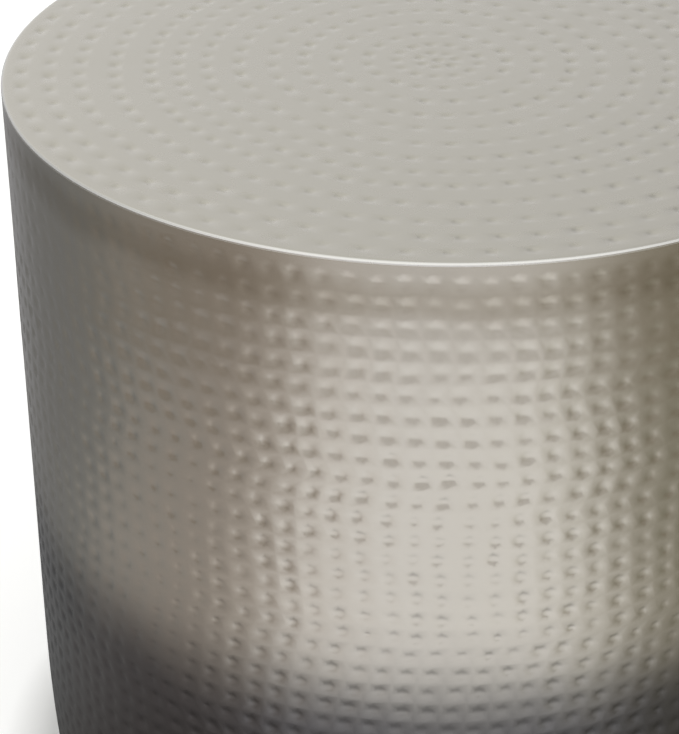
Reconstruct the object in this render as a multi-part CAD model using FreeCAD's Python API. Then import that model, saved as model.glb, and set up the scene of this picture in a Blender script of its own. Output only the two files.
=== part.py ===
import FreeCAD, Part
import math
import os

from FreeCAD import Vector

# Drum side table of iron sheet: a rolled wall with a hemmed round top, braced inside, standing on
# four levelling glides. Millimetres, +Z up, origin on the floor under the centre of the drum.

# The drum as a whole
table_diameter = 457.0
table_height = 457.0
sheet = 1.0  # iron sheet of the wall and the top
hem_gap = 0.4  # air left inside a folded edge
fit_gap = 0.3  # between curved pieces that are welded or bonded together
overrun = 1.0  # how far a cut runs past the face that it opens

# The top: a folded sheet on a board
top_hem_width = 15.0
board_thickness = 12.0
board_arris = 1.0

# The wall: straight above, drawn in along one arc towards its foot, and folded inwards at the edge
floor_gap = 4.0
foot_height = 105.0
foot_set_in = 5.8
wall_hem_height = 14.0

# The hoop inside the wall's upper edge
hoop_height = 25.0
hoop_thickness = 3.0

# The braces: flat bar with turned-down ends, one right across and one on each side of it
brace_width = 25.0
brace_thickness = 4.0
brace_bend = 4.0
brace_arm_angles = {"long_brace": (0, 180), "front_brace": (270,), "rear_brace": (90,)}

# The screws that hold the board to the braces
screw_inner_reach = 60.0
screw_outer_reach = 165.0
screw_diameter = 4.0
screw_bite = 9.0
screw_gap = 0.1
screw_head_diameter = 8.0
screw_head_height = 3.0
screw_head_chamfer = 1.2

# The ring inside the foot, which rests on the wall's hem
ring_width = 32.0
ring_thickness = 4.0

# The nuts on the ring, one over each glide
nut_across_flats = 13.0
nut_height = 6.5

# The glides: a stud that screws through ring and nut, turning in a pad that it is snapped into
glide_angles = {"front_left": 225, "front_right": 315, "rear_left": 135, "rear_right": 45}
glide_inset = 17.0  # from the ring's outer edge to the stud's axis
stud_diameter = 8.0
stud_length = 30.0  # above the collar
stud_chamfer = 1.0
thread_gap = 0.1
collar_across_flats = 13.0
collar_height = 5.0
head_diameter = 13.0
head_height = 3.0
running_gap = 0.05
pad_diameter = 26.0
pad_upper_diameter = 20.0
pad_sole = 3.0
pad_lip = 2.5
pad_edge_chamfer = 1.0

# Places that follow from the sizes above
radius = table_diameter / 2
fold = 2 * sheet + hem_gap
wall_top = table_height - fold
board_top = table_height - sheet
brace_top = board_top - board_thickness
hoop_bottom = wall_top - hoop_height
hoop_outer = radius - sheet - fit_gap
hoop_inner = hoop_outer - hoop_thickness
foot_top = floor_gap + foot_height
foot_arc = (foot_height ** 2 + foot_set_in ** 2) / (2 * foot_set_in)
seat = floor_gap + wall_hem_height
up = Vector(0, 0, 1)


def at(r, z):
    """Point of an outline, by its distance from the axis and its height."""
    return Vector(r, 0, z)


def foot_at(arc, z):
    """Point at height z on an arc about the centre of the drawn-in foot."""
    return at(radius - foot_arc + math.sqrt(arc ** 2 - (foot_top - z) ** 2), z)


ring_outer = foot_at(foot_arc - sheet, seat).x - fit_gap
ring_inner = ring_outer - ring_width
glide_reach = ring_outer - glide_inset


def outline(start, *steps):
    """Closed face. Each step is a point to run straight to, or an arc's middle and end points."""
    edges = []
    here = start
    for step in steps + (start,):
        if isinstance(step, tuple):
            edges.append(Part.Arc(here, step[0], step[1]).toShape())
            here = step[1]
        else:
            edges.append(Part.LineSegment(here, step).toShape())
            here = step
    return Part.Face(Part.Wire(edges))


def turned(face):
    return face.revolve(Vector(), up, 360)


def rod(r, bottom, top):
    return Part.makeCylinder(r, top - bottom, at(0, bottom))


def hexagon(across_flats, bottom, top):
    corner = across_flats / math.sqrt(3)
    turns = [math.radians(60 * k) for k in range(7)]
    rim = [Vector(corner * math.cos(a), corner * math.sin(a), bottom) for a in turns]
    return Part.Face(Part.makePolygon(rim)).extrude(up * (top - bottom))


def placed(shape, reach, bearing):
    """Copy of a shape made on the axis, moved out by reach and swung round to a bearing."""
    copy = shape.copy()
    copy.translate(at(reach, 0))
    copy.rotate(Vector(), up, bearing)
    return copy


def screw_places():
    """Reach and angle of every board screw, two on each arm of the cross."""
    for bearings in brace_arm_angles.values():
        for bearing in bearings:
            yield screw_inner_reach, bearing
            yield screw_outer_reach, bearing


def screw_holes():
    """Clearance through a brace and pilot into the board, for all the screws."""
    hole = rod(screw_diameter / 2 + screw_gap, brace_top - brace_thickness - overrun,
               brace_top + screw_bite + screw_gap)
    return Part.makeCompound([placed(hole, *place) for place in screw_places()])


def top_plate():
    """Flat sheet with its edge folded under, so that the rim is a full round."""
    turn = radius - fold / 2
    middle = table_height - fold / 2
    hem_end = radius - top_hem_width
    return turned(outline(
        at(0, table_height),
        at(turn, table_height),
        (at(radius, middle), at(turn, wall_top)),
        at(hem_end, wall_top),
        at(hem_end, wall_top + sheet),
        at(turn, wall_top + sheet),
        at(turn, board_top),
        at(0, board_top)))


def top_board():
    """Disc that fills the top plate inside its hem, with its lower edge eased."""
    edge = radius - top_hem_width - fit_gap
    disc = turned(outline(
        at(0, brace_top),
        at(edge - board_arris, brace_top),
        at(edge, brace_top + board_arris),
        at(edge, board_top),
        at(0, board_top)))
    return disc.cut(screw_holes())


def upper_hoop():
    return rod(hoop_outer, hoop_bottom, wall_top).cut(
        rod(hoop_inner, hoop_bottom - overrun, wall_top + overrun))


def brace_arm(start):
    """Flat bar from a start near the axis out to the hoop, with its end turned down beside the hoop."""
    reach = math.sqrt(hoop_inner ** 2 - (brace_width / 2) ** 2) - fit_gap
    outer_bend = brace_bend + brace_thickness
    bend_x = reach - outer_bend
    bend_z = brace_top - outer_bend
    slant = math.sqrt(2) / 2
    side = outline(
        at(start, brace_top),
        at(bend_x, brace_top),
        (at(bend_x + outer_bend * slant, bend_z + outer_bend * slant), at(reach, bend_z)),
        at(reach, hoop_bottom),
        at(reach - brace_thickness, hoop_bottom),
        at(reach - brace_thickness, bend_z),
        (at(bend_x + brace_bend * slant, bend_z + brace_bend * slant),
         at(bend_x, brace_top - brace_thickness)),
        at(start, brace_top - brace_thickness))
    side.translate(Vector(0, -brace_width / 2, 0))
    return side.extrude(Vector(0, brace_width, 0))


def brace(bearings):
    """A bar right across for two bearings, or one that butts on the side of the long bar for one."""
    start = 0 if len(bearings) > 1 else brace_width / 2
    arms = [placed(brace_arm(start), 0, bearing) for bearing in bearings]
    bar = arms[0]
    for arm in arms[1:]:
        bar = bar.fuse(arm).removeSplitter()
    return bar.cut(screw_holes())


def board_screws():
    """Pan-head screws with their heads under the braces and their tips in the board."""
    head_r = screw_head_diameter / 2
    shank_r = screw_diameter / 2
    head_top = brace_top - brace_thickness
    head_bottom = head_top - screw_head_height
    screw = turned(outline(
        at(0, head_bottom),
        at(head_r - screw_head_chamfer, head_bottom),
        at(head_r, head_bottom + screw_head_chamfer),
        at(head_r, head_top),
        at(shank_r, head_top),
        at(shank_r, brace_top + screw_bite),
        at(0, brace_top + screw_bite)))
    return Part.makeCompound([placed(screw, *place) for place in screw_places()])


def drum_wall():
    """Rolled sheet, straight above and drawn in below, with its lower edge folded up inside."""
    inner_arc = foot_arc - sheet
    hem_face_arc = foot_arc - fold
    hem_back_arc = hem_face_arc + sheet
    fold_arc = foot_arc - fold / 2
    fold_z = floor_gap + fold / 2
    lean = math.asin((foot_top - fold_z) / fold_arc)
    fold_middle = foot_at(fold_arc, fold_z)
    outward = Vector(math.cos(lean), 0, -math.sin(lean))
    onward = Vector(-math.sin(lean), 0, -math.cos(lean))

    def arc_to(arc, start_z, end):
        return foot_at(arc, (start_z + end.z) / 2), end

    outer_end = fold_middle + outward * (fold / 2)
    hem_start = fold_middle - outward * (fold / 2)
    hem_back_end = fold_middle - outward * (hem_gap / 2)
    inner_end = fold_middle + outward * (hem_gap / 2)
    return turned(outline(
        at(radius, wall_top),
        at(radius, foot_top),
        arc_to(foot_arc, foot_top, outer_end),
        (fold_middle + onward * (fold / 2), hem_start),
        arc_to(hem_face_arc, hem_start.z, foot_at(hem_face_arc, seat)),
        foot_at(hem_back_arc, seat),
        arc_to(hem_back_arc, seat, hem_back_end),
        inner_end,
        arc_to(inner_arc, inner_end.z, at(radius - sheet, foot_top)),
        at(radius - sheet, wall_top)))


def base_ring():
    ring_top = seat + ring_thickness
    hole = rod(stud_diameter / 2 + fit_gap, seat - overrun, ring_top + overrun)
    ring = rod(ring_outer, seat, ring_top).cut(rod(ring_inner, seat - overrun, ring_top + overrun))
    return ring.cut(Part.makeCompound([placed(hole, glide_reach, b) for b in glide_angles.values()]))


def weld_nuts():
    bottom = seat + ring_thickness
    top = bottom + nut_height
    bore = rod(stud_diameter / 2 + thread_gap, bottom - overrun, top + overrun)
    nut = hexagon(nut_across_flats, bottom, top).cut(bore)
    return Part.makeCompound([placed(nut, glide_reach, b) for b in glide_angles.values()])


def glide_stud():
    """Screwed right in: the collar is up against the ring and the head stands on the pad's sole."""
    r = stud_diameter / 2
    collar_bottom = seat - collar_height
    tip = seat + stud_length
    spindle = turned(outline(
        at(0, pad_sole),
        at(head_diameter / 2, pad_sole),
        at(head_diameter / 2, pad_sole + head_height),
        at(r, pad_sole + head_height),
        at(r, tip - stud_chamfer),
        at(r - stud_chamfer, tip),
        at(0, tip)))
    return spindle.fuse(hexagon(collar_across_flats, collar_bottom, seat)).removeSplitter()


def glide_pad():
    """Nylon pad with a pocket under a lip, which holds the stud's head and lets it turn."""
    foot_r = pad_diameter / 2
    upper_r = pad_upper_diameter / 2
    pocket_r = head_diameter / 2 + running_gap
    pocket_top = pad_sole + head_height + running_gap
    mouth_r = stud_diameter / 2 + fit_gap
    pad_top = pocket_top + pad_lip
    return turned(outline(
        at(0, 0),
        at(foot_r - pad_edge_chamfer, 0),
        at(foot_r, pad_edge_chamfer),
        at(upper_r, pad_top),
        at(mouth_r, pad_top),
        at(mouth_r, pocket_top),
        at(pocket_r, pocket_top),
        at(pocket_r, pad_sole),
        at(0, pad_sole)))


pieces = {
    "top_plate": top_plate(),
    "top_board": top_board(),
    "upper_hoop": upper_hoop(),
    "board_screws": board_screws(),
    "drum_wall": drum_wall(),
    "base_ring": base_ring(),
    "weld_nuts": weld_nuts(),
}
for name, bearings in brace_arm_angles.items():
    pieces[name] = brace(bearings)
for corner, bearing in glide_angles.items():
    pieces["glide_stud_" + corner] = placed(glide_stud(), glide_reach, bearing)
    pieces["glide_pad_" + corner] = placed(glide_pad(), glide_reach, bearing)

os.makedirs("parts", exist_ok=True)
for name, shape in pieces.items():
    shape.exportStep("parts/" + name + ".step")
    print(name, "solids", len(shape.Solids), "valid", shape.isValid(), "volume", round(shape.Volume))
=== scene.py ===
import bpy
import math
import numpy as np
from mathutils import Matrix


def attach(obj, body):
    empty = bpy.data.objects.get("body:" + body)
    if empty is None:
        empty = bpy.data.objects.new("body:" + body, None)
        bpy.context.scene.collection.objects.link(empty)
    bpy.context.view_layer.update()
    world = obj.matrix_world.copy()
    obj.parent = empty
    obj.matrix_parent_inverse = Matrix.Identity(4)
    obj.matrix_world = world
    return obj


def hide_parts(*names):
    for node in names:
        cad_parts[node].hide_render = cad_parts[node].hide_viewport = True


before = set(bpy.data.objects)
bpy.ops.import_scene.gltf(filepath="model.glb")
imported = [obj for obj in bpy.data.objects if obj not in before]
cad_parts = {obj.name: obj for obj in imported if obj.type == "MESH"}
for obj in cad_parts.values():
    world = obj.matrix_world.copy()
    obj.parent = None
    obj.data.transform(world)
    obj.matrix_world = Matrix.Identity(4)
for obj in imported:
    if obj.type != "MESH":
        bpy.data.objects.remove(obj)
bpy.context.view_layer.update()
bpy.ops.object.select_all(action="DESELECT")


# Drum wall. One strip of 1 mm iron sheet, hammered in rows while it lies flat, then rolled into a drum and
# welded up the back, drawn in towards the foot, folded up inside at the bottom and soldered to the top's hem.
# It is nickel plated with a satin finish, and the lower part is blackened with a misty upper border that sits a
# little higher towards the left and right sides. Part of the darkening towards the bottom is painted shade, for the
# shaded floor that the wall mirrors near its foot. A darker band is painted a little below the top edge.
drum_radius = 0.2285
sheet_thickness = 0.001
wall_top = 0.4546
foot_top = 0.109
foot_arc = 0.95333
touching = 1e-6
wall_dents_round = 113
wall_dent_rows = 38
wall_dent_pitch = 2 * math.pi * drum_radius / wall_dents_round
wall_row_pitch = 0.0115
wall_top_row = 0.446
wall_bottom_cell = wall_top_row - (wall_dent_rows - 0.5) * wall_row_pitch
wall_cell_corners = 8
wall_dent_radius = 0.0047
wall_dent_depth = 0.00072
wall_dent_rings = ((1, 0.03), (0.55, 0.68))
wall_dent_stray = (0.0024, 0.0012)
wall_blow_wander = 0.0007
wall_blow_seed = 21
held_edge, held_weight = 0.1, 0.5
row_slip_most = 0.42
row_sway_most, row_sway_least_share = 0.0007, 0.3
row_sway_turns = (2, 6)
row_seed = 11
wall_waves = ((7, 23, 0), (11, -41, 1), (5, 67, 2))
wall_wave_depth = 0.00012
wall_wave_fade = 0.03
fold = 0.0024
hem_bottom, hem_top = 0.004, 0.018
hem_turn_shares = (0, 0.25, 0.5, 0.75, 1)
solder_steps = ((0, 0.00068), (0.00012, 0.0007), (0.0003, 0.0004), (0.0009, 0))
inside_bottom = wall_bottom_cell + 0.001
inside_top = wall_top - 0.0004
inside_bulge_share = 0.64
inside_slack = 2e-4
nickel = (0.56, 0.537, 0.488)
wall_black = (0.112, 0.111, 0.118)
mist_low = 0.165
mist_rise = 0.09
mist_drift = 0.003
# Heights and shares of the blackening: partly the black finish, partly painted shade darkening the wall towards the
# bottom.
ombre_and_painted_shade_heights = ((0.174, 0.0), (0.185, 0.03), (0.194, 0.12), (0.206, 0.29), (0.217, 0.52), (0.2285, 0.75), (0.24, 0.88),
              (0.262, 1.0))
# A darker band a little below the top edge of the wall.
dark_band_below_top = ((0.424, (1, 1, 1)), (0.4335, (0.83, 0.81, 0.78)), (0.441, (0.83, 0.81, 0.78)), (0.4505, (1, 1, 1)))


def points_of(piece):
    """Corner points of a piece, one to a row."""
    points = np.empty(len(piece.data.vertices) * 3)
    piece.data.vertices.foreach_get("co", points)
    return points.reshape(-1, 3)


def put_points(piece, points):
    piece.data.vertices.foreach_set("co", points.ravel())
    piece.data.update()


def edit_points(piece, chosen):
    """Goes into edit mode with only the chosen points selected."""
    piece.data.polygons.foreach_set("select", np.zeros(len(piece.data.polygons), bool))
    piece.data.edges.foreach_set("select", np.zeros(len(piece.data.edges), bool))
    piece.data.vertices.foreach_set("select", chosen)
    bpy.context.tool_settings.mesh_select_mode = (True, False, False)
    bpy.ops.object.mode_set(mode="EDIT")


def edit_faces(piece, chosen):
    """Goes into edit mode with only the chosen faces selected."""
    piece.data.vertices.foreach_set("select", np.zeros(len(piece.data.vertices), bool))
    piece.data.edges.foreach_set("select", np.zeros(len(piece.data.edges), bool))
    piece.data.polygons.foreach_set("select", chosen)
    bpy.context.tool_settings.mesh_select_mode = (False, False, True)
    bpy.ops.object.mode_set(mode="EDIT")


def chosen_points(piece):
    chosen = np.empty(len(piece.data.vertices), bool)
    piece.data.vertices.foreach_get("select", chosen)
    return chosen


def corners_of_cells(piece, corner_count):
    """Corners of the selected cells, one cell to a row."""
    faces = piece.data.polygons
    chosen = np.empty(len(faces), bool)
    start = np.empty(len(faces), int)
    faces.foreach_get("select", chosen)
    faces.foreach_get("loop_start", start)
    corners = np.empty(len(piece.data.loops), int)
    piece.data.loops.foreach_get("vertex_index", corners)
    return corners[start[chosen][:, None] + np.arange(corner_count)]


def hammer(piece, corner_count, reach, depth, rings, wander, seed, weight=None):
    """Strikes a round dent into every cell of a flat sheet that has this many corners. Each ring is a share of
    the dent's radius and of its depth. Blows wander and differ in size and weight, and stay in their cells."""
    size_spread, oval_most, weight_spread = (0.93, 1.07), 0.07, (0.65, 1.2)
    margin = reach / 8
    margin_in_use = 0.8 * margin
    draw = np.random.default_rng(seed)
    faces = piece.data.polygons
    sides = np.empty(len(faces), int)
    faces.foreach_get("loop_total", sides)
    edit_faces(piece, sides == corner_count)
    centre = None
    for reach_share, depth_share in rings:
        bpy.ops.mesh.inset(thickness=margin, use_individual=True)
        bpy.ops.object.mode_set(mode="OBJECT")
        cells = corners_of_cells(piece, corner_count)
        points = points_of(piece)
        if centre is None:
            count = len(cells)
            centre = points[cells].mean(axis=1)
            spread = points[cells] - centre[:, None]
            bearing = np.arctan2(spread[:, :, 1], spread[:, :, 0])
            # The cells' order differs from run to run, so the draws are dealt out by place.
            turn_taken = np.lexsort((centre[:, 1], centre[:, 0])).argsort()
            centre[:, :2] += draw.uniform(-wander, wander, (count, 2))[turn_taken]
            radius = reach * draw.uniform(*size_spread, count)[turn_taken]
            oval = draw.uniform(-oval_most, oval_most, count)[turn_taken]
            drop = depth * draw.uniform(*weight_spread, count)[turn_taken]
            side = np.roll(points[cells], -1, axis=1) - points[cells]
            away = centre[:, None] - points[cells]
            room = (side[:, :, 0] * away[:, :, 1] - side[:, :, 1] * away[:, :, 0]) / np.linalg.norm(side, axis=2)
            radius = np.minimum(radius, (abs(room).min(axis=1) + margin_in_use) / (1 + abs(oval)))
            drop *= radius / reach
            if weight:
                drop *= weight(centre)
        points[cells, 0] = centre[:, None, 0] + (radius * (1 + oval) * reach_share)[:, None] * np.cos(bearing)
        points[cells, 1] = centre[:, None, 1] + (radius * (1 - oval) * reach_share)[:, None] * np.sin(bearing)
        points[cells, 2] = centre[:, None, 2] - (drop * depth_share)[:, None]
        put_points(piece, points)
        bpy.ops.object.mode_set(mode="EDIT")
    before = len(points)
    bpy.ops.mesh.poke()
    bpy.ops.object.mode_set(mode="OBJECT")
    points = points_of(piece)
    points[before:, 2] = centre[:, 2] - drop
    put_points(piece, points)


bpy.ops.mesh.primitive_grid_add(x_subdivisions=2 * wall_dents_round, y_subdivisions=2 * wall_dent_rows, size=1)
wall = bpy.context.object
wall.name = "hammered_drum_wall"
points = points_of(wall)
column = np.rint((points[:, 0] + 0.5) * 2 * wall_dents_round).astype(int)
level = np.rint((points[:, 1] + 0.5) * 2 * wall_dent_rows).astype(int)
column_count = 2 * wall_dents_round + 1
level_count = 2 * wall_dent_rows + 1
wall_draw = np.random.default_rng(row_seed)
row_slip = np.cumsum(wall_draw.uniform(-row_slip_most, row_slip_most, wall_dent_rows))
level_slip = np.empty(level_count)
level_slip[1::2] = row_slip
level_slip[2:-1:2] = (row_slip[1:] + row_slip[:-1]) / 2
level_slip[[0, -1]] = row_slip[[0, -1]]
level_sway = row_sway_most * wall_draw.uniform(row_sway_least_share, 1, level_count)
level_sway[[0, -1]] = 0
sway_turns = wall_draw.integers(*row_sway_turns, level_count)
sway_start = wall_draw.uniform(0, 2 * math.pi, level_count)
round_share = column / (2 * wall_dents_round)
points[:, 0] = (column / 2 - wall_dents_round / 2 + level_slip[level]) * wall_dent_pitch
points[:, 1] = wall_bottom_cell + level / 2 * wall_row_pitch
points[:, 1] += level_sway[level] * np.sin(2 * math.pi * sway_turns[level] * round_share + sway_start[level])
dent_stray = wall_draw.uniform(-1, 1, (wall_dent_rows, wall_dents_round, 2)) * wall_dent_stray
stray = np.zeros((level_count, column_count, 2))
stray[1::2, 1::2] = dent_stray
stray[1::2, 2::2] = (dent_stray + np.roll(dent_stray, -1, axis=1)) / 2
stray[1::2, 0] = stray[1::2, -1]
stray[2:-1:2] = (stray[1:-2:2] + stray[3::2]) / 2
points[:, :2] += stray[level, column]
put_points(wall, points)
edit_points(wall, (column % 2 == 1) & (level % 2 == 1))
bpy.ops.mesh.dissolve_verts()
bpy.ops.object.mode_set(mode="OBJECT")


def blow_weight(places):
    """Blows are lighter along the upper edge, where the strip was held."""
    return np.clip((wall_top - places[:, 1]) / held_edge, held_weight, 1)


hammer(wall, wall_cell_corners, wall_dent_radius, wall_dent_depth, wall_dent_rings, wall_blow_wander,
       wall_blow_seed, blow_weight)
points = points_of(wall)
edit_points(wall, points[:, 1] > wall_bottom_cell + wall_dent_rows * wall_row_pitch - touching)
bpy.ops.mesh.extrude_edges_move()
bpy.ops.object.mode_set(mode="OBJECT")
points = points_of(wall)
points[chosen_points(wall), 1] = wall_top


def foot_reach(arc, height):
    """Distance from the axis of an arc about the centre of the drawn-in foot, at a height."""
    drop = np.maximum(foot_top - height, 0)
    return drum_radius - foot_arc + np.sqrt(arc ** 2 - drop ** 2)


def roll_up(points):
    """Rolls flat sheet points (along, height, proud) round the drum's axis, with the middle towards the front.
    The sheet buckles a little in low waves, which fade out at its edges."""
    along, height, proud = points.T
    drop = np.maximum(foot_top - height, 0)
    lean = np.arcsin(drop / foot_arc)
    buckle = sum(np.sin(turns * along / drum_radius + climb * height + start)
                 for turns, climb, start in wall_waves) / len(wall_waves)
    edge = (np.clip((wall_top - height) / wall_wave_fade, 0, 1)
            * np.clip((height - wall_bottom_cell) / wall_wave_fade, 0, 1))
    proud = proud - wall_wave_depth * edge * (1 + buckle)
    reach = foot_reach(foot_arc, height) + proud * np.cos(lean)
    turn = along / drum_radius - math.pi / 2
    return np.column_stack((reach * np.cos(turn), reach * np.sin(turn), height - proud * np.sin(lean)))


def weld(piece):
    """Merges the points of a piece that lie on each other."""
    edit_points(piece, np.ones(len(piece.data.vertices), bool))
    bpy.ops.mesh.remove_doubles(threshold=touching)
    bpy.ops.object.mode_set(mode="OBJECT")


put_points(wall, roll_up(points))
weld(wall)


def draw_edge(piece, chosen, outline):
    """Draws a round open edge on along an outline of (distance from the axis, height), step by step."""
    edit_points(piece, chosen)
    for reach, height in outline:
        bpy.ops.mesh.extrude_edges_move()
        bpy.ops.object.mode_set(mode="OBJECT")
        points = points_of(piece)
        fresh = chosen_points(piece)
        points[fresh, :2] *= (reach / np.hypot(points[fresh, 0], points[fresh, 1]))[:, None]
        points[fresh, 2] = height
        put_points(piece, points)
        bpy.ops.object.mode_set(mode="EDIT")
    bpy.ops.object.mode_set(mode="OBJECT")


fold_height = hem_bottom + fold / 2
fold_reach = foot_reach(foot_arc - fold / 2, fold_height)
fold_lean = math.asin((foot_top - fold_height) / (foot_arc - fold / 2))
hem_outline = []
for share in hem_turn_shares:
    swing = -fold_lean - math.pi * share
    hem_outline.append((fold_reach + fold / 2 * math.cos(swing), fold_height + fold / 2 * math.sin(swing)))
hem_outline.append((foot_reach(foot_arc - fold, hem_top), hem_top))
hem_outline.append((foot_reach(foot_arc - fold + sheet_thickness, hem_top), hem_top))
hem_gap_half = fold / 2 - sheet_thickness
for side in (-1, 1):
    hem_outline.append((fold_reach + side * hem_gap_half * math.cos(fold_lean),
                        fold_height - side * hem_gap_half * math.sin(fold_lean)))
points = points_of(wall)
draw_edge(wall, points[:, 2] < wall_bottom_cell + touching, hem_outline)
points = points_of(wall)
draw_edge(wall, points[:, 2] > wall_top - touching,
          [(drum_radius - inset, wall_top + rise) for inset, rise in solder_steps])


def pick(*pieces):
    """Selects these pieces alone, with the first as the active one."""
    bpy.ops.object.select_all(action="DESELECT")
    for piece in pieces:
        piece.select_set(True)
    bpy.context.view_layer.objects.active = pieces[0]


bpy.ops.mesh.primitive_grid_add(x_subdivisions=wall_dents_round, y_subdivisions=wall_dent_rows, size=1)
wall_inside = bpy.context.object
points = points_of(wall_inside)
points[:, 0] *= 2 * math.pi * drum_radius
points[:, 1] = inside_bottom + (points[:, 1] + 0.5) * (inside_top - inside_bottom)
points[:, 2] = -sheet_thickness
put_points(wall_inside, points)
flat_corners = len(points)
edit_faces(wall_inside, np.ones(len(wall_inside.data.polygons), bool))
bpy.ops.mesh.poke()
bpy.ops.object.mode_set(mode="OBJECT")
points = points_of(wall_inside)
points[flat_corners:, 2] -= inside_bulge_share * wall_dent_depth
put_points(wall_inside, roll_up(points))
pick(wall, wall_inside)
bpy.ops.object.join()
weld(wall)


def bridge(piece, chosen):
    """Closes the gap between two open edges whose points are chosen."""
    edit_points(piece, chosen)
    bpy.context.tool_settings.mesh_select_mode = (False, True, False)
    bpy.ops.mesh.bridge_edge_loops()
    bpy.ops.object.mode_set(mode="OBJECT")


points = points_of(wall)
reach = np.hypot(points[:, 0], points[:, 1])
inner_side = reach < drum_radius - sheet_thickness / 2
inner_end = (abs(points[:, 2] - inside_top) < touching) & inner_side
solder_end = (abs(points[:, 2] - wall_top) < touching) & inner_side
bridge(wall, solder_end | inner_end)
points = points_of(wall)
reach = np.hypot(points[:, 0], points[:, 1])
hem_end_reach, hem_end_height = hem_outline[-1]
hem_end = (abs(reach - hem_end_reach) < touching) & (abs(points[:, 2] - hem_end_height) < touching)
inner_side = reach < foot_reach(foot_arc, inside_bottom) - sheet_thickness / 2
skin_end = (abs(points[:, 2] - inside_bottom) < inside_slack) & inner_side
bridge(wall, hem_end | skin_end)


def close_up(piece, crease=40):
    """Turns all faces outwards and smooths what is blunter than the crease angle."""
    pick(piece)
    bpy.ops.object.mode_set(mode="EDIT")
    bpy.ops.mesh.select_all(action="SELECT")
    bpy.ops.mesh.normals_make_consistent(inside=False)
    bpy.ops.mesh.select_all(action="DESELECT")
    bpy.ops.object.mode_set(mode="OBJECT")
    bpy.ops.object.shade_smooth_by_angle(angle=math.radians(crease))


close_up(wall)


class Nodes:
    """A tree of nodes, with short ways to add to it."""

    def __init__(self, tree):
        self.tree = tree

    def node(self, kind, **inputs):
        made = self.tree.nodes.new(kind)
        for name, value in inputs.items():
            self.set(made.inputs[name.replace("_", " ")], value)
        return made

    def set(self, socket, value):
        if isinstance(value, bpy.types.NodeSocket):
            self.tree.links.new(value, socket)
        else:
            socket.default_value = value

    def sum(self, operation, *values):
        """One step of arithmetic."""
        made = self.node("ShaderNodeMath")
        made.operation = operation
        for socket, value in zip(made.inputs, values):
            self.set(socket, value)
        return made.outputs[0]

    def vector_sum(self, operation, *places):
        """One step of arithmetic on places, which gives a Vector or a Value."""
        made = self.node("ShaderNodeVectorMath")
        made.operation = operation
        for socket, place in zip(made.inputs, places):
            self.set(socket, place)
        return made.outputs

    def span(self, value, low, high, to_low, to_high):
        """Carries a value from one span to another."""
        made = self.node("ShaderNodeMapRange", Value=value)
        for name, end in zip(("From Min", "From Max", "To Min", "To Max"), (low, high, to_low, to_high)):
            self.set(made.inputs[name], end)
        return made.outputs[0]

    def ramp(self, value, stops):
        """Colours or greys along a value from 0 to 1."""
        made = self.node("ShaderNodeValToRGB", Fac=value)
        stop_list = made.color_ramp.elements
        while len(stop_list) < len(stops):
            stop_list.new(0.5)
        for stop, (place, colour) in zip(stop_list, stops):
            stop.position = place
            stop.color = (*np.broadcast_to(colour, 3), 1)
        return made.outputs[0]

    def mix(self, share, first, second, blend="MIX"):
        """Two colours mixed, or blended in another way."""
        made = self.node("ShaderNodeMix")
        made.data_type = "RGBA"
        made.blend_type = blend
        for place, value in ((0, share), (6, first), (7, second)):
            self.set(made.inputs[place], value)
        return made.outputs[2]


class Finish(Nodes):
    """A surface finish, built up node by node on one Principled shader."""

    def __init__(self, name, colour, metallic, roughness):
        self.material = bpy.data.materials.new(name)
        self.material.use_nodes = True
        super().__init__(self.material.node_tree)
        self.shader = self.tree.nodes["Principled BSDF"]
        self.shader.inputs["Base Color"].default_value = (*colour, 1)
        self.shader.inputs["Metallic"].default_value = metallic
        self.shader.inputs["Roughness"].default_value = roughness

    def place(self):
        return self.node("ShaderNodeTexCoord").outputs["Object"]

    def cloud(self, scale, detail):
        """Soft noise through the piece, about 0.5."""
        return self.node("ShaderNodeTexNoise", Vector=self.place(), Scale=scale, Detail=detail).outputs[0]

    def drift(self, scale, detail, low, high):
        """Soft noise through the piece, between two values."""
        return self.span(self.cloud(scale, detail), 0.3, 0.7, low, high)

    def tint(self, value):
        self.set(self.shader.inputs["Base Color"], value)

    def mottle(self, scale, detail, stops):
        """Colours that drift into each other through the piece."""
        self.tint(self.ramp(self.cloud(scale, detail), stops))

    def roughen(self, scale, detail, low, high):
        """Roughness that drifts between two values."""
        self.set(self.shader.inputs["Roughness"], self.drift(scale, detail, low, high))

    def grain(self, scale, detail, height):
        """Fine bumps, too small to model."""
        made = self.node("ShaderNodeBump", Height=self.cloud(scale, detail), Distance=height, Strength=1.0)
        self.set(self.shader.inputs["Normal"], made.outputs[0])

    def coat(self, *pieces):
        for piece in pieces:
            if not piece.material_slots:
                piece.data.materials.append(None)
            for slot in piece.material_slots:
                slot.material = self.material


ombre_and_shade_nickel = Finish("ombre_and_shade_plate", nickel, metallic=1.0, roughness=0.3)
sheet_place = ombre_and_shade_nickel.node("ShaderNodeSeparateXYZ", Vector=ombre_and_shade_nickel.place()).outputs
drifted = ombre_and_shade_nickel.sum("ADD", sheet_place["Z"], ombre_and_shade_nickel.drift(22, 2, -mist_drift, mist_drift))
across = ombre_and_shade_nickel.sum("MULTIPLY", sheet_place["X"], sheet_place["X"])
misted = ombre_and_shade_nickel.sum("MULTIPLY_ADD", across, -mist_rise, drifted)
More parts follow.
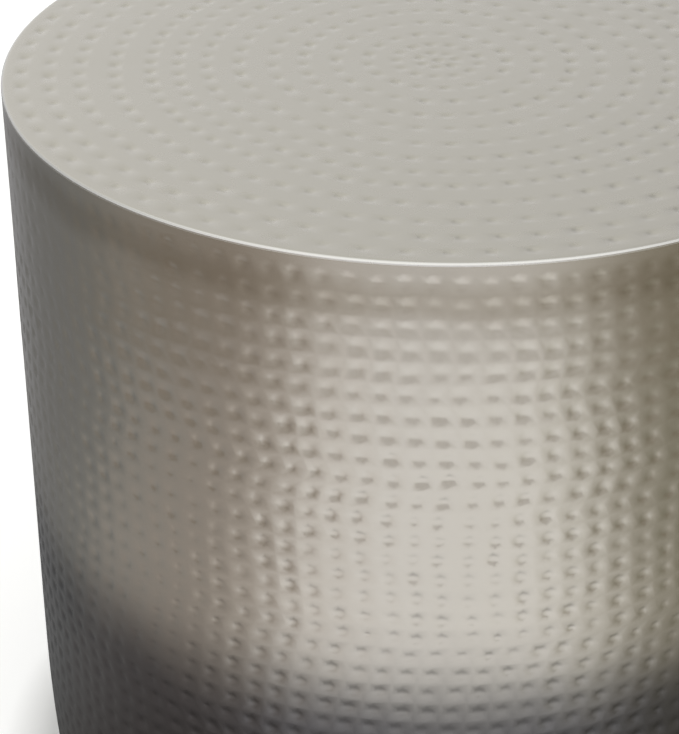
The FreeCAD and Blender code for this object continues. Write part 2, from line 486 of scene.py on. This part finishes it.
# The ramp blends the black finish with painted shade towards the bottom, and the darker band below the top.
ombre_and_painted_shade_stops = []
for level_height, share in ombre_and_painted_shade_heights:
    mixed = [black + (bright - black) * share for black, bright in zip(wall_black, nickel)]
    ombre_and_painted_shade_stops.append(((level_height - mist_low) / (wall_top - mist_low), mixed))
for level_height, band_dimming in dark_band_below_top:
    band_colour = [bright * share for bright, share in zip(nickel, band_dimming)]
    ombre_and_painted_shade_stops.append(((level_height - mist_low) / (wall_top - mist_low), band_colour))
ombre_and_shade_nickel.tint(ombre_and_shade_nickel.ramp(ombre_and_shade_nickel.span(misted, mist_low, wall_top, 0, 1), ombre_and_painted_shade_stops))
ombre_and_shade_nickel.roughen(scale=60, detail=4, low=0.19, high=0.23)
dark_inside = Finish("dark_inside", (0.075, 0.073, 0.07), metallic=0.0, roughness=0.55)
dark_inside.roughen(scale=90, detail=4, low=0.48, high=0.66)
ombre_and_shade_nickel.coat(wall)
wall.data.materials.append(dark_inside.material)
faces = wall.data.polygons
facing = np.empty(len(faces) * 3)
middle = np.empty(len(faces) * 3)
faces.foreach_get("normal", facing)
faces.foreach_get("center", middle)
facing, middle = facing.reshape(-1, 3), middle.reshape(-1, 3)
inward = (facing[:, :2] * middle[:, :2]).sum(axis=1) < 0
faces.foreach_set("material_index", inward.astype(np.int32))
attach(wall, "drum")
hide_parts("drum_wall")


# Upper hoop and braces. A flat iron bar rolled into a hoop inside the wall's upper edge, with three flat bars
# welded across it as a cross, their ends turned down. Painted a thin matt black that the iron mottles.
dark_iron = Finish("dark_iron", (0.06, 0.058, 0.056), metallic=0.4, roughness=0.55)
dark_iron.mottle(scale=70, detail=6, stops=((0.35, (0.03, 0.03, 0.031)), (0.55, (0.064, 0.061, 0.058)),
                                            (0.72, (0.115, 0.098, 0.082))))
dark_iron.roughen(scale=140, detail=4, low=0.42, high=0.68)
dark_iron.grain(scale=420, detail=3, height=0.00015)
dark_iron.coat(*[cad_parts[name] for name in ("upper_hoop", "long_brace", "front_brace", "rear_brace")])


# Top board. A disc of brown fibreboard with an eased lower edge, bonded under the top plate to keep it flat.
# Its pressed fibres show as fine speckle.
fibreboard = Finish("fibreboard", (0.36, 0.25, 0.15), metallic=0.0, roughness=0.85)
fibreboard.mottle(scale=900, detail=5, stops=((0.3, (0.2, 0.128, 0.07)), (0.5, (0.36, 0.25, 0.15)),
                                              (0.7, (0.47, 0.35, 0.225))))
fibreboard.roughen(scale=300, detail=3, low=0.78, high=0.95)
fibreboard.grain(scale=1200, detail=4, height=0.0002)
fibreboard.coat(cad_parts["top_board"])


# Top plate. A disc of the same iron sheet, hammered in rings out from a dent at its centre nearly to its rim,
# with its edge folded under into a hem that shows as a round bright line over the wall. It is nickel plated with
# a satin finish, and the fold is painted a brighter nickel as a painted highlight.
top_height = 0.457
board_top = 0.456
top_hem_width = 0.015
top_rings = ((0.0457, 7), (0.0971, 13), (0.1614, 17), (0.2357, 22), (0.31, 33), (0.38, 33), (0.4586, 40),
             (0.5329, 51), (0.5986, 62), (0.6614, 72), (0.7429, 72), (0.8229, 72), (0.8929, 72), (0.955, 72))
top_dent_radius = 0.0036
top_dent_depth = 0.00054
top_dent_rings = ((1, 0.02), (0.66, 0.52), (0.32, 0.9))
top_blow_wander = 0.0003
top_blow_seed = 41
ring_seed = 31
top_cell_half = 0.005
centre_cell = 0.0044
cell_steps = 4
cell_corners = 4 * cell_steps
ring_lift = 0.01
rim_turn = drum_radius - fold / 2
rim_height = top_height - fold / 2
rim_steps = 8
# The fold is painted a brighter nickel, as a painted highlight.
rim_highlight_start, rim_highlight_end = rim_turn - 0.0004, rim_turn + 0.0006
rim_highlight_nickel = (0.665, 0.657, 0.64)

bpy.ops.mesh.primitive_circle_add(vertices=cell_corners, radius=centre_cell, fill_type="NGON")
top = bpy.context.object
top.name = "hammered_top_plate"
top_draw = np.random.default_rng(ring_seed)
ring_edges = [centre_cell]
for number, (share, dents) in enumerate(top_rings):
    inner_edge = share * drum_radius - top_cell_half
    ring_edges += [inner_edge, inner_edge + 2 * top_cell_half]
    bpy.ops.mesh.primitive_circle_add(vertices=cell_steps * dents, radius=inner_edge, fill_type="NOTHING",
                                      location=(0, 0, (number + 1) * ring_lift))
    ring = bpy.context.object
    bpy.ops.object.mode_set(mode="EDIT")
    for step in range(cell_steps):
        here = inner_edge + 2 * top_cell_half * step / cell_steps
        wider = 1 + 2 * top_cell_half / cell_steps / here
        bpy.ops.mesh.extrude_edges_move()
        bpy.ops.transform.resize(value=(wider, wider, 1), center_override=(0, 0, 0))
    bpy.ops.object.mode_set(mode="OBJECT")
    points = points_of(ring)
    turn = np.arctan2(points[:, 1], points[:, 0])
    spoke = np.rint(turn / (2 * math.pi) * cell_steps * dents).astype(int)
    step = np.rint((np.hypot(points[:, 0], points[:, 1]) - inner_edge) / (2 * top_cell_half) * cell_steps)
    edit_points(ring, (spoke % cell_steps != 0) & (step > 0) & (step < cell_steps))
    bpy.ops.mesh.dissolve_verts()
    bpy.ops.mesh.select_all(action="SELECT")
    bpy.ops.transform.rotate(value=top_draw.uniform(0, 2 * math.pi), orient_axis="Z", center_override=(0, 0, 0))
    bpy.ops.object.mode_set(mode="OBJECT")
    pick(top, ring)
    bpy.ops.object.join()
hammer(top, cell_corners, top_dent_radius, top_dent_depth, top_dent_rings, top_blow_wander, top_blow_seed)
for inner_side, outer_side in zip(ring_edges[0::2], ring_edges[1::2]):
    points = points_of(top)
    reach = np.hypot(points[:, 0], points[:, 1])
    bridge(top, (abs(reach - inner_side) < touching) | (abs(reach - outer_side) < touching))
points = points_of(top)
points[:, 2] += top_height - np.rint(points[:, 2] / ring_lift) * ring_lift
put_points(top, points)
rim_outline = [((ring_edges[-1] + rim_turn) / 2, top_height)]
for step in range(rim_steps + 1):
    swing = math.pi / 2 - math.pi * step / rim_steps
    rim_outline.append((rim_turn + fold / 2 * math.cos(swing), rim_height + fold / 2 * math.sin(swing)))
rim_outline += [(drum_radius - top_hem_width, wall_top),
                (drum_radius - top_hem_width, wall_top + sheet_thickness),
                (rim_turn, wall_top + sheet_thickness),
                (rim_turn, board_top),
                (drum_radius - 2 * top_hem_width, board_top)]


def cap(piece):
    """Closes the open edge that was drawn last."""
    edit_points(piece, chosen_points(piece))
    bpy.ops.mesh.edge_face_add()
    bpy.ops.object.mode_set(mode="OBJECT")


draw_edge(top, np.hypot(points[:, 0], points[:, 1]) > ring_edges[-1] - touching, rim_outline)
cap(top)
close_up(top)
satin_nickel = Finish("satin_plate", nickel, metallic=1.0, roughness=0.34)
level_place = satin_nickel.vector_sum("MULTIPLY", satin_nickel.place(), (1, 1, 0))["Vector"]
from_axis = satin_nickel.vector_sum("LENGTH", level_place)["Value"]
# Painted highlight: the colour turns brighter over the fold.
rim_highlight_share = satin_nickel.span(from_axis, rim_highlight_start, rim_highlight_end, 0, 1)
satin_nickel.tint(satin_nickel.ramp(rim_highlight_share, ((0, nickel), (1, rim_highlight_nickel))))
satin_nickel.roughen(scale=45, detail=4, low=0.25, high=0.32)
satin_nickel.coat(top)
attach(top, "drum")
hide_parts("top_plate")


# Board screws. Eight zinc-plated steel screws with pan heads and crossed slots, driven up through the braces
# into the board. One is turned and slotted, and the rest are copies of it.
screw_reaches = (0.06, 0.165)
screw_bearings = (0, 90, 180, 270)
screw_core = 0.0014
screw_crest = 0.002
screw_pitch = 0.0016
screw_head_top = 0.44
screw_head_height = 0.003
screw_head_steps = ((0.0038, 0), (0.004, 0.0002), (0.004, 0.0014), (0.0038, 0.0021), (0.0033, 0.0026),
                    (0.0026, 0.0029), (0.0014, screw_head_height))
screw_shank = 0.0016
screw_tip = 0.453
screw_tip_radius = 0.0003
screw_thread_bottom, screw_thread_top = screw_head_top + 0.002, screw_tip - 0.002
screw_slot_half = 0.00042
screw_slot_reach = 0.002
screw_slot_depth = 0.0015
screw_slot_overrun = 0.0005
screw_slot_taper = 0.6


def threaded_rod(name, core, crest, pitch, bottom, top):
    """Open tube with a screw thread that starts and runs out on its core."""
    crest_start_share, crest_end_share = 0.44, 0.56
    steps_to_a_turn = 24
    bpy.ops.mesh.primitive_plane_add(size=1)
    rod = bpy.context.object
    rod.name = name
    points = points_of(rod)
    edit_points(rod, points[:, 0] < 0)
    bpy.ops.mesh.delete(type="EDGE")
    bpy.ops.object.mode_set(mode="OBJECT")
    put_points(rod, np.array([[core, 0, 0], [crest, 0, crest_start_share * pitch], [core, 0, pitch],
                              [crest, 0, crest_end_share * pitch]]) + (0, 0, bottom - pitch))
    bpy.ops.object.modifier_add(type="SCREW")
    winding = rod.modifiers[-1]
    winding.screw_offset = pitch
    winding.iterations = math.ceil((top - bottom) / pitch) + 1
    winding.steps = winding.render_steps = steps_to_a_turn
    winding.use_merge_vertices = True
    winding.merge_threshold = touching
    bpy.ops.object.modifier_apply(modifier=winding.name)
    points = points_of(rod)
    run_out = (points[:, 2] < bottom + touching) | (points[:, 2] > top - touching)
    points[run_out, :2] *= (core / np.hypot(points[run_out, 0], points[run_out, 1]))[:, None]
    points[:, 2] = np.clip(points[:, 2], bottom, top)
    put_points(rod, points)
    weld(rod)
    return rod


def copy_to(piece, name, reach, bearing):
    """Copy of a piece made on the axis, moved out by reach and swung round to a bearing."""
    pick(piece)
    bpy.ops.object.duplicate()
    copy = bpy.context.object
    copy.name = name
    turn = math.radians(bearing)
    points = points_of(piece) + (reach, 0, 0)
    swing = np.array([[math.cos(turn), math.sin(turn), 0], [-math.sin(turn), math.cos(turn), 0], [0, 0, 1]])
    put_points(copy, points @ swing)
    return copy


screw = threaded_rod("pan_screw", screw_core, screw_crest, screw_pitch, screw_thread_bottom, screw_thread_top)
points = points_of(screw)
draw_edge(screw, points[:, 2] > screw_thread_top - touching, ((screw_tip_radius, screw_tip),))
cap(screw)
points = points_of(screw)
screw_outline = [(screw_crest, screw_head_top + screw_shank), (screw_crest, screw_head_top)]
screw_outline += [(reach, screw_head_top - drop) for reach, drop in screw_head_steps]
draw_edge(screw, points[:, 2] < screw_thread_bottom + touching, screw_outline)
cap(screw)
close_up(screw)
bpy.ops.mesh.primitive_grid_add(x_subdivisions=3, y_subdivisions=3, size=3)
slot_cut = bpy.context.object
points = points_of(slot_cut)
points[:, :2] = np.sign(points[:, :2]) * np.where(abs(points[:, :2]) > 1, screw_slot_reach, screw_slot_half)
points[:, 2] = screw_head_top - screw_head_height - screw_slot_overrun
put_points(slot_cut, points)
middle = np.array([face.center for face in slot_cut.data.polygons])
edit_faces(slot_cut, (abs(middle[:, 0]) > screw_slot_half) & (abs(middle[:, 1]) > screw_slot_half))
bpy.ops.mesh.delete(type="FACE")
bpy.ops.mesh.select_all(action="SELECT")
bpy.ops.mesh.extrude_region_move(TRANSFORM_OT_translate={"value": (0, 0, screw_slot_overrun + screw_slot_depth)})
bpy.ops.transform.resize(value=(screw_slot_taper, screw_slot_taper, 1), center_override=(0, 0, 0))
bpy.ops.object.mode_set(mode="OBJECT")
close_up(slot_cut)
pick(screw)
bpy.ops.object.modifier_add(type="BOOLEAN")
slotting = screw.modifiers[-1]
slotting.operation = "DIFFERENCE"
slotting.object = slot_cut
bpy.ops.object.modifier_apply(modifier=slotting.name)
screws = [copy_to(screw, "pan_screws", reach, bearing) for bearing in screw_bearings for reach in screw_reaches]
pick(screw, slot_cut)
bpy.ops.object.delete()
pick(*screws)
bpy.ops.object.join()
close_up(screws[0])
zinc_steel = Finish("zinc_steel", (0.6, 0.61, 0.63), metallic=1.0, roughness=0.35)
zinc_steel.mottle(scale=260, detail=3, stops=((0.35, (0.5, 0.52, 0.55)), (0.65, (0.64, 0.63, 0.58))))
zinc_steel.roughen(scale=500, detail=4, low=0.26, high=0.42)
zinc_steel.coat(screws[0])
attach(screws[0], "drum")
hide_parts("board_screws")


# Base ring and weld nuts. A flat iron ring that rests on the wall's hem inside the foot, bored for the four
# glides, with a hex nut welded on over each bore. Painted black, as the hoop is.
dark_iron.coat(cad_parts["base_ring"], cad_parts["weld_nuts"])


# Glide studs. Four M8 steel studs, zinc plated, with a hex collar to turn them by and a round head at the foot.
# Each screws up through its nut, so turning it raises or lowers that side of the table.
glide_bearings = {"front_left": 225, "front_right": 315, "rear_left": 135, "rear_right": 45}
glide_reach = 0.205842
stud_core = 0.00332
stud_crest = 0.004
stud_pitch = 0.00125
stud_tip = 0.048
stud_tip_chamfer = 0.001
thread_top = stud_tip - stud_tip_chamfer
collar_half_flats = 0.0065
collar_bottom, collar_top = 0.013, 0.018
collar_chamfer = 0.0006
head_bottom, head_top = 0.003, 0.006
head_radius = 0.0065
head_chamfer = 0.0003
stud_crease = 30

stud = threaded_rod("stud", stud_core, stud_crest, stud_pitch, collar_top, thread_top)
points = points_of(stud)
draw_edge(stud, points[:, 2] > thread_top - touching, ((stud_crest - stud_tip_chamfer, stud_tip),))
cap(stud)
points = points_of(stud)
draw_edge(stud, points[:, 2] < collar_top + touching,
          ((collar_half_flats, collar_top), (collar_half_flats, collar_top - collar_chamfer),
           (collar_half_flats, collar_bottom + collar_chamfer), (collar_half_flats, collar_bottom),
           (stud_crest, collar_bottom), (stud_crest, head_top), (head_radius - head_chamfer, head_top),
           (head_radius, head_top - head_chamfer), (head_radius, head_bottom + head_chamfer),
           (head_radius - head_chamfer, head_bottom)))
cap(stud)
points = points_of(stud)
flats = (points[:, 2] > collar_bottom + touching) & (points[:, 2] < collar_top - touching)
bearing = np.arctan2(points[:, 1], points[:, 0])
corner_stretch = 1 / np.cos(bearing % (math.pi / 3) - math.pi / 6)
points[flats, :2] *= corner_stretch[flats, None]
put_points(stud, points)
close_up(stud, stud_crease)
for corner, bearing in glide_bearings.items():
    glide_stud = copy_to(stud, "threaded_stud_" + corner, glide_reach, bearing)
    zinc_steel.coat(glide_stud)
    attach(glide_stud, "glide_stud_" + corner)
    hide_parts("glide_stud_" + corner)
pick(stud)
bpy.ops.object.delete()


# Glide pads. Four moulded black nylon pads that the table stands on, each snapped over its stud's head, which
# turns in it. Matt, with a fine moulded grain.
nylon = Finish("nylon", (0.02, 0.02, 0.021), metallic=0.0, roughness=0.5)
nylon.mottle(scale=180, detail=3, stops=((0.35, (0.014, 0.014, 0.015)), (0.65, (0.028, 0.028, 0.029))))
nylon.roughen(scale=240, detail=3, low=0.44, high=0.6)
nylon.grain(scale=1500, detail=2, height=0.00008)
nylon.coat(*[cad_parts["glide_pad_" + corner] for corner in glide_bearings])


# Camera: a long lens close above the table, looking down on it from the front.
camera_place = (0, -1.09446, 0.91569)
camera_tilt, camera_turn = 59.405, 2.708
camera_lens, camera_sensor = 109.22, 36
bpy.ops.object.camera_add(location=camera_place, rotation=(math.radians(camera_tilt), 0, math.radians(camera_turn)))
camera = bpy.context.object
camera.data.lens = camera_lens
camera.data.sensor_width = camera_sensor
bpy.context.scene.camera = camera


# Floor: a wide white sweep that keeps the table's shadow. It glows a little where it is seen, less and less close
# round the table's foot, which paints a shadow there, and faintly under the table.
floor_glow_and_painted_shadow = ((0.233, 0.03), (0.263, 0.38))
bpy.ops.mesh.primitive_plane_add(size=30)
floor = bpy.context.object
floor.name = "floor"
white_floor = Finish("white_floor", (0.85, 0.85, 0.85), metallic=0.0, roughness=0.9)
white_floor.shader.inputs["Specular IOR Level"].default_value = 0
rays = white_floor.node("ShaderNodeLightPath").outputs
shown = white_floor.sum("ADD", white_floor.sum("ADD", rays["Is Camera Ray"], rays["Is Glossy Ray"]),
                        rays["Is Transmission Ray"])
away = white_floor.vector_sum("LENGTH", white_floor.place())["Value"]
(glow_start, glow_least), (glow_end, glow_most) = floor_glow_and_painted_shadow
# The emission fades close round the foot, as a painted shadow.
glow = white_floor.sum("MULTIPLY", shown, white_floor.span(away, glow_start, glow_end, glow_least, glow_most))
white_floor.shader.inputs["Emission Color"].default_value = (1, 1, 1, 1)
white_floor.set(white_floor.shader.inputs["Emission Strength"], glow)
white_floor.coat(floor)


# Mat: a wide card round the table that only the metal mirrors, and that glows with its own light. By bearing from
# the front it is white, then brown to both sides, grey to the left and pale behind. The white spreads near the
# table, but close round the table's foot the card is darkened as a painted shadow. Far off, past a brown line, all
# turns brown but the grey.
mat_radius = 6
mat_height = 0.0005
mat_centre = -0.135
mat_bearings = ((-180, (0.8, 0.8, 0.8)), (-150, (0.26, 0.26, 0.27)), (-127, (0.178, 0.178, 0.18)),
                (-112, (0.173, 0.173, 0.173)), (-97, (0.2, 0.2, 0.195)), (-80, (0.29, 0.275, 0.26)),
                (-53, (0.335, 0.3, 0.275)), (-40, (0.46, 0.42, 0.39)), (-26, (0.74, 0.715, 0.7)),
                (-5, (0.82, 0.81, 0.81)), (24, (0.82, 0.81, 0.8)), (37, (0.66, 0.645, 0.61)),
                (52, (0.387, 0.365, 0.318)), (68, (0.255, 0.24, 0.19)), (85, (0.25, 0.235, 0.19)),
                (112, (0.7, 0.7, 0.7)), (180, (0.8, 0.8, 0.8)))
mat_spread = ((0.4, 0.76), (0.7, 1.0))
# Painted shadow: the card darkens close round the table's foot.
mat_painted_shadow = ((0.1, 0.3), (0.27, 0.5), (0.36, 0.9), (0.42, 1.0))
mat_far = ((0.825, 0), (0.862, 1), (0.912, 1), (0.95, 0), (0.985, 0.02), (1.08, 0.42), (1.6, 0.52), (2.6, 0.35),
           (4, 0.05))
mat_far_brown = (0.16, 0.121, 0.077)
mat_left_grey = (-112, -72)
mat_glow = 1.3
bpy.ops.mesh.primitive_circle_add(vertices=64, radius=mat_radius, fill_type="NGON", location=(0, 0, mat_height))
mat = bpy.context.object
bpy.ops.object.transform_apply(location=True)
mat.name = "mirrored_mat"
card = Finish("mirrored_card", (0, 0, 0), metallic=0.0, roughness=1.0)
card.shader.inputs["Specular IOR Level"].default_value = 0
mat_place = card.node("ShaderNodeSeparateXYZ", Vector=card.place()).outputs
bearing = card.sum("ARCTAN2", mat_place["X"], card.sum("SUBTRACT", mat_centre, mat_place["Y"]))
far_off = card.vector_sum("DISTANCE", card.place(), (0, mat_centre, mat_height))["Value"]
(spread_start, spread_least), (spread_end, spread_most) = mat_spread
front_spread = card.span(far_off, spread_start, spread_end, spread_least, spread_most)
spread_here = card.span(card.sum("ABSOLUTE", bearing), math.pi / 2, math.pi, front_spread, spread_most)
spread = card.sum("MULTIPLY", bearing, spread_here)
turn_colour = card.ramp(card.span(spread, -math.pi, math.pi, 0, 1),
                        [((degrees + 180) / 360, colour) for degrees, colour in mat_bearings])
far_span = mat_far[-1][0]
far_share = card.span(far_off, 0, far_span, 0, 1)
painted_foot_shadow = card.ramp(far_share, [(far / far_span, shade) for far, shade in mat_painted_shadow])
browning = card.ramp(far_share, [(far / far_span, share) for far, share in mat_far])
grey_end, brown_start = (math.radians(degrees) for degrees in mat_left_grey)
brown_share = card.sum("MULTIPLY", browning, card.span(spread, grey_end, brown_start, 0, 1))
browned = card.mix(brown_share, turn_colour, (*mat_far_brown, 1))
shaded = card.mix(1, browned, painted_foot_shadow, blend="MULTIPLY")
card.set(card.shader.inputs["Emission Color"], shaded)
card.shader.inputs["Emission Strength"].default_value = mat_glow
card.coat(mat)
for ray in ("camera", "diffuse", "transmission", "volume_scatter", "shadow"):
    setattr(mat, "visible_" + ray, False)


# Light: a large soft box overhead and a pale room all round. The room is brightest low down and in front, and
# behind the table it is lighter left of the middle than right of it. The camera sees it white.
soft_box_place = (0.1, -0.6, 2.1)
soft_box_size, soft_box_power = 3, 12
room_levels = ((0, 0.96), (0.2, 0.85), (0.6, 0.775), (1, 0.67))
room_sides = ((-1, 0.28), (-0.75, 0.4), (-0.45, 0.47), (-0.27, 0.66), (-0.13, 0.53), (0.1, 0.485), (0.25, 0.29),
              (0.45, 0.2), (1, 0.23))
room_side_level = 0.5
room_side_depth = 0.4
room_front = 0.43
room_tint = ((0.4, (1, 1, 1)), (0.62, (1, 1, 0.95)))
bpy.ops.object.light_add(type="AREA", location=soft_box_place)
soft_box = bpy.context.object
soft_box.data.shape = "SQUARE"
soft_box.data.size = soft_box_size
soft_box.data.energy = soft_box_power
world = bpy.data.worlds.new("pale_room")
bpy.context.scene.world = world
world.use_nodes = True
room = Nodes(world.node_tree)
room_light = room.tree.nodes["Background"]
room_axes = room.node("ShaderNodeSeparateXYZ", Vector=room.node("ShaderNodeTexCoord").outputs["Generated"]).outputs
room_side = room.ramp(room.span(room_axes["X"], -1, 1, 0, 1),
                      [((place + 1) / 2, strength) for place, strength in room_sides])
room_lean = room.sum("SUBTRACT", room_side, room_side_level)
room_behind = room.span(room_axes["Y"], 0, room_side_depth, 0, 1)
room_strength = room.sum("MULTIPLY_ADD", room_lean, room_behind, room.ramp(room_axes["Z"], room_levels))
room_strength = room.sum("ADD", room_strength, room.span(room_axes["Y"], 0, -1, 0, room_front))
room.set(room_light.inputs["Strength"], room_strength)
room.set(room_light.inputs["Color"], room.ramp(room_axes["Z"], room_tint))
seen_room = room.node("ShaderNodeBackground", Color=(1, 1, 1, 1))
room_mix = room.node("ShaderNodeMixShader")
room.set(room_mix.inputs[0], room.node("ShaderNodeLightPath").outputs["Is Camera Ray"])
room.set(room_mix.inputs[1], room_light.outputs[0])
room.set(room_mix.inputs[2], seen_room.outputs[0])
room.set(room.tree.nodes["World Output"].inputs["Surface"], room_mix.outputs[0])

bpy.context.scene.view_settings.view_transform = "Standard"
